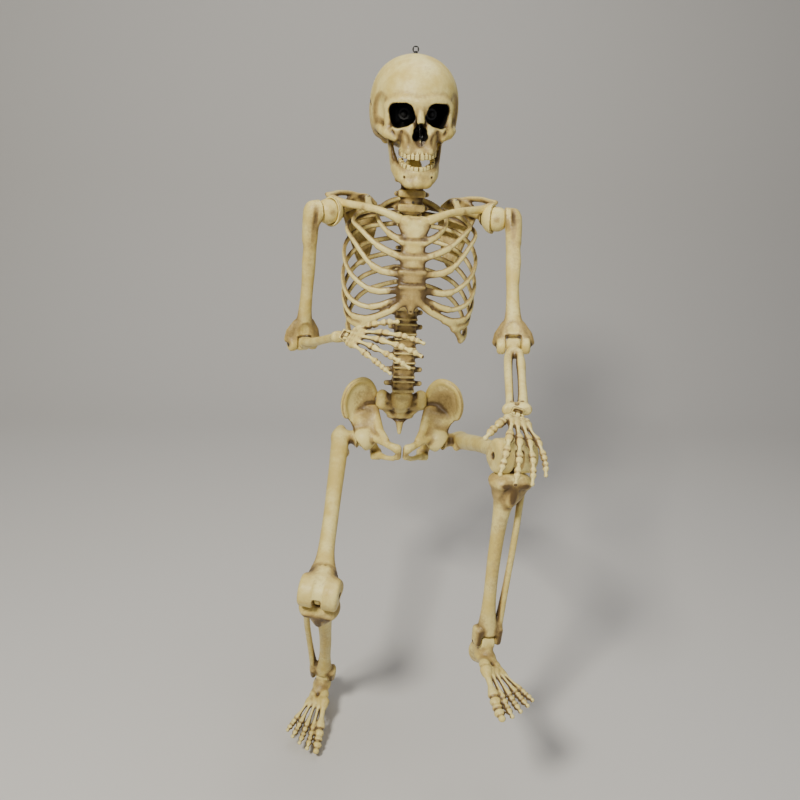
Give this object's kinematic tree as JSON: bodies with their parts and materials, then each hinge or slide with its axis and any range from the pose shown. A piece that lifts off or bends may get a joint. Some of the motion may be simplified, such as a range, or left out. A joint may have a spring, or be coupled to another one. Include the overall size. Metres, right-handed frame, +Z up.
{
  "type": "posable skeleton figure",
  "caption": "Life-size posable plastic skeleton in a sitting pose, with jointed neck, jaw, shoulders, elbows, wrists, hips, knees and ankles.",
  "frame": {"origin": "midway between the two sitting points under the hip bones, on the plane that they rest on", "axes": "+Z up, the figure faces -Y, +X is the figure's left"},
  "size_m": [0.4325, 0.6766, 1.2133],
  "materials": {
    "bone_plastic": "satin ivory plastic with a brown antique wash in the recesses",
    "black_plastic": "matt black",
    "dark_steel": "dark zinc plated steel"
  },
  "bodies": {
    "torso": {"sacrum": "bone_plastic", "hip_bone_right": "bone_plastic", "hip_bone_left": "bone_plastic", "lumbar_spine": "dark_steel", "rib_cage_back": "bone_plastic", "rib_cage_front": "bone_plastic", "neck_vertebrae": "bone_plastic", "neck_screw": "dark_steel", "clavicle_right": "bone_plastic", "clavicle_left": "bone_plastic", "clavicle_screw_right": "dark_steel", "clavicle_screw_left": "dark_steel", "scapula_right": "bone_plastic", "scapula_left": "bone_plastic"},
    "shoulder_collar_right": {"shoulder_collar_right": "bone_plastic"},
    "shoulder_ball_right": {"shoulder_ball_right": "bone_plastic"},
    "upper_arm_right": {"humerus_right": "bone_plastic", "elbow_pin_right": "dark_steel"},
    "forearm_right": {"forearm_right": "bone_plastic"},
    "wrist_right": {"wrist_knuckle_right": "bone_plastic"},
    "hand_right": {"hand_right": "bone_plastic"},
    "hip_ball_right": {"hip_ball_right": "bone_plastic"},
    "thigh_right": {"femur_right": "bone_plastic", "knee_pin_right": "dark_steel"},
    "shin_right": {"shin_right": "bone_plastic", "ankle_pin_right": "dark_steel"},
    "foot_right": {"foot_right": "bone_plastic"},
    "shoulder_collar_left": {"shoulder_collar_left": "bone_plastic"},
    "shoulder_ball_left": {"shoulder_ball_left": "bone_plastic"},
    "upper_arm_left": {"humerus_left": "bone_plastic", "elbow_pin_left": "dark_steel"},
    "forearm_left": {"forearm_left": "bone_plastic"},
    "wrist_left": {"wrist_knuckle_left": "bone_plastic"},
    "hand_left": {"hand_left": "bone_plastic"},
    "hip_ball_left": {"hip_ball_left": "bone_plastic"},
    "thigh_left": {"femur_left": "bone_plastic", "knee_pin_left": "dark_steel"},
    "shin_left": {"shin_left": "bone_plastic", "ankle_pin_left": "dark_steel"},
    "foot_left": {"foot_left": "bone_plastic"},
    "neck": {"neck_pivot": "bone_plastic"},
    "head": {"skull_face": "bone_plastic", "skull_rear": "bone_plastic", "skull_pin": "dark_steel", "hang_loop": "black_plastic", "eye_insert_right": "black_plastic", "eye_insert_left": "black_plastic", "jaw_pin_right": "dark_steel", "jaw_pin_left": "dark_steel"},
    "jaw": {"jaw": "bone_plastic"}
  },
  "joints": [
    {"name": "shoulder_turn_right", "type": "hinge", "parent": "torso", "child": "shoulder_collar_right", "pos_m": [-0.14788, 0.01339, 0.4723], "axis": [0.0087, 0.0558, 0.9984], "range_deg": [-20, 25]},
    {"name": "shoulder_lift_right", "type": "hinge", "parent": "shoulder_collar_right", "child": "shoulder_ball_right", "pos_m": [-0.14788, 0.01339, 0.4723], "axis": [-0.421, 0.9058, -0.047], "range_deg": [-6, 38]},
    {"name": "arm_swing_right", "type": "hinge", "parent": "shoulder_ball_right", "child": "upper_arm_right", "pos_m": [-0.14788, 0.01339, 0.4723], "axis": [0.907, 0.4208, -0.014], "range_deg": [-60, 30]},
    {"name": "elbow_bend_right", "type": "hinge", "parent": "upper_arm_right", "child": "forearm_right", "pos_m": [-0.19221, 0.03552, 0.22269], "axis": [0.907, 0.4208, -0.014], "range_deg": [-2, 55]},
    {"name": "wrist_twist_right", "type": "hinge", "parent": "forearm_right", "child": "wrist_right", "pos_m": [-0.10939, -0.14086, 0.28634], "axis": [-0.404, 0.8604, -0.3105], "range_deg": [-40, 90]},
    {"name": "wrist_bend_right", "type": "hinge", "parent": "wrist_right", "child": "hand_right", "pos_m": [-0.10939, -0.14086, 0.28634], "axis": [0.4921, 0.4906, 0.7191], "range_deg": [-50, 25]},
    {"name": "hip_swing_right", "type": "hinge", "parent": "torso", "child": "hip_ball_right", "pos_m": [-0.072, -0.009, 0.048], "axis": [1, 0, 0], "range_deg": [-30, 60]},
    {"name": "hip_spread_right", "type": "hinge", "parent": "hip_ball_right", "child": "thigh_right", "pos_m": [-0.072, -0.009, 0.048], "axis": [0, 0.4258, -0.9048], "range_deg": [-15, 5]},
    {"name": "knee_bend_right", "type": "hinge", "parent": "thigh_right", "child": "shin_right", "pos_m": [-0.14558, -0.31954, -0.09813], "axis": [0.9778, -0.1897, -0.0893], "range_deg": [-90, 10]},
    {"name": "ankle_bend_right", "type": "hinge", "parent": "shin_right", "child": "foot_right", "pos_m": [-0.13976, -0.15711, -0.37957], "axis": [0.9778, -0.1897, -0.0893], "range_deg": [-25, 35]},
    {"name": "shoulder_turn_left", "type": "hinge", "parent": "torso", "child": "shoulder_collar_left", "pos_m": [0.1561, 0.01324, 0.46965], "axis": [0.0087, 0.0558, 0.9984], "range_deg": [-35, 12]},
    {"name": "shoulder_lift_left", "type": "hinge", "parent": "shoulder_collar_left", "child": "shoulder_ball_left", "pos_m": [0.1561, 0.01324, 0.46965], "axis": [0.1599, 0.9855, -0.0565], "range_deg": [-38, 6]},
    {"name": "arm_swing_left", "type": "hinge", "parent": "shoulder_ball_left", "child": "upper_arm_left", "pos_m": [0.1561, 0.01324, 0.46965], "axis": [0.9851, -0.1556, 0.0734], "range_deg": [-35, 0]},
    {"name": "elbow_bend_left", "type": "hinge", "parent": "upper_arm_left", "child": "forearm_left", "pos_m": [0.17153, -0.15503, 0.27936], "axis": [0.9851, -0.1556, 0.0734], "range_deg": [-70, 5]},
    {"name": "wrist_twist_left", "type": "hinge", "parent": "forearm_left", "child": "wrist_left", "pos_m": [0.14458, -0.351, 0.22558], "axis": [0.1314, 0.956, 0.2624], "range_deg": [-60, 60]},
    {"name": "wrist_bend_left", "type": "hinge", "parent": "wrist_left", "child": "hand_left", "pos_m": [0.14458, -0.351, 0.22558], "axis": [0.9637, -0.0611, -0.2601], "range_deg": [-30, 40]},
    {"name": "hip_swing_left", "type": "hinge", "parent": "torso", "child": "hip_ball_left", "pos_m": [0.072, -0.009, 0.048], "axis": [1, 0, 0], "range_deg": [-5, 40]},
    {"name": "hip_spread_left", "type": "hinge", "parent": "hip_ball_left", "child": "thigh_left", "pos_m": [0.072, -0.009, 0.048], "axis": [0, -0.3107, -0.9505], "range_deg": [-10, 12]},
    {"name": "knee_bend_left", "type": "hinge", "parent": "thigh_left", "child": "shin_left", "pos_m": [0.14737, -0.33485, 0.1545], "axis": [0.9767, 0.2041, -0.0667], "range_deg": [-40, 5]},
    {"name": "ankle_bend_left", "type": "hinge", "parent": "shin_left", "child": "foot_left", "pos_m": [0.1286, -0.35096, -0.16955], "axis": [0.9767, 0.2041, -0.0667], "range_deg": [-35, 25]},
    {"name": "neck_turn", "type": "hinge", "parent": "torso", "child": "neck", "pos_m": [0.00503, 0.0681, 0.57307], "axis": [0.0087, 0.0558, 0.9984], "range_deg": [-60, 60]},
    {"name": "head_nod", "type": "hinge", "parent": "neck", "child": "head", "pos_m": [0.00503, 0.0681, 0.57307], "axis": [0.999, 0.0431, -0.0111], "range_deg": [-20, 12]},
    {"name": "jaw_open", "type": "hinge", "parent": "head", "child": "jaw", "pos_m": [0.00486, 0.05606, 0.60706], "axis": [0.9989, 0.043, 0.0203], "range_deg": [-6, 8]}
  ]
}
